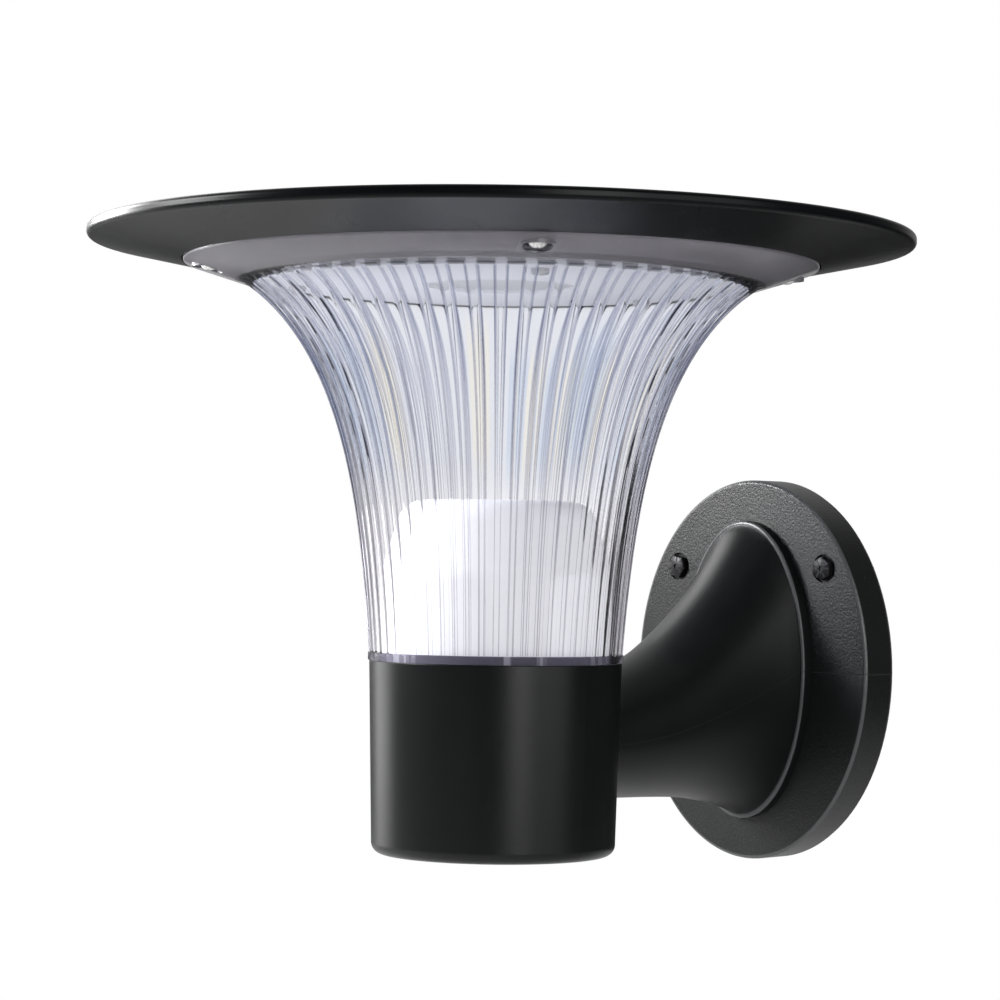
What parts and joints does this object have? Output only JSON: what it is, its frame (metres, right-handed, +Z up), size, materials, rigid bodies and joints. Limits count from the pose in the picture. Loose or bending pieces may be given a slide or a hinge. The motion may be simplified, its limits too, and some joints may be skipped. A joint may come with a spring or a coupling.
{
  "type": "solar wall light",
  "caption": "Outdoor solar wall light: wide saucer hat with a solar panel, clear ribbed trumpet lens, cup base and a curved arm on an oval wall plate",
  "frame": {"origin": "middle of the wall pad's rear face, on the wall", "axes": "+Y into the wall, the lamp stands out towards -Y, +Z up"},
  "size_m": [0.26, 0.279, 0.2098],
  "materials": {
    "black_plastic": "satin moulded, fine texture",
    "clear_lens": "clear, polished",
    "clear_cover": "clear, polished",
    "solar_laminate": "dark cells under resin",
    "white_plastic": "matt white",
    "frosted_plastic": "frosted",
    "white_board": "solder resist",
    "green_board": "solder resist",
    "board_black": "moulded",
    "light_chip": "phosphor",
    "steel": "bright",
    "spring_steel": "drawn",
    "black_steel": "black finish",
    "nickel": "plated",
    "cell_wrap": "shrink sleeve",
    "rubber": "matt",
    "foam": "matt",
    "red_wire": "satin",
    "black_wire": "satin"
  },
  "bodies": {
    "lamp": {"hat_shell": "black_plastic", "panel_cover": "clear_cover", "panel_seal": "rubber", "solar_cells": "solar_laminate", "reflector_plate": "white_plastic", "led_window": "frosted_plastic", "led_board": "white_board", "led_chips": "light_chip", "control_board": "green_board", "board_parts": "board_black", "board_screws": "steel", "plate_screws": "steel", "battery_cells": "cell_wrap", "battery_holder": "board_black", "battery_contacts": "nickel", "button_spring": "spring_steel", "switch_body": "board_black", "switch_board": "green_board", "lens": "clear_lens", "lens_seal": "rubber", "flange_screws": "steel", "reflector_dome": "white_plastic", "lens_screws": "steel", "base_cup": "black_plastic", "base_seal": "rubber", "arm_bolts": "steel", "arm": "black_plastic", "root_screws": "steel", "back_plate": "black_plastic", "wall_pad": "foam", "wall_screws": "black_steel", "screw_washers": "rubber", "panel_lead_red": "red_wire", "panel_lead_black": "black_wire", "light_lead_red": "red_wire", "light_lead_black": "black_wire", "cell_lead_red": "red_wire", "cell_lead_black": "black_wire", "switch_lead_red": "red_wire", "switch_lead_black": "black_wire"},
    "button": {"power_button": "rubber"}
  },
  "joints": [
    {"name": "power_button_press", "type": "slide", "parent": "lamp", "child": "button", "axis": [0, 0, 1], "range_m": [0, 0.0008], "stiffness_N_per_m": 800, "springref_m": -0.0005, "deforming": ["button_spring"]}
  ]
}
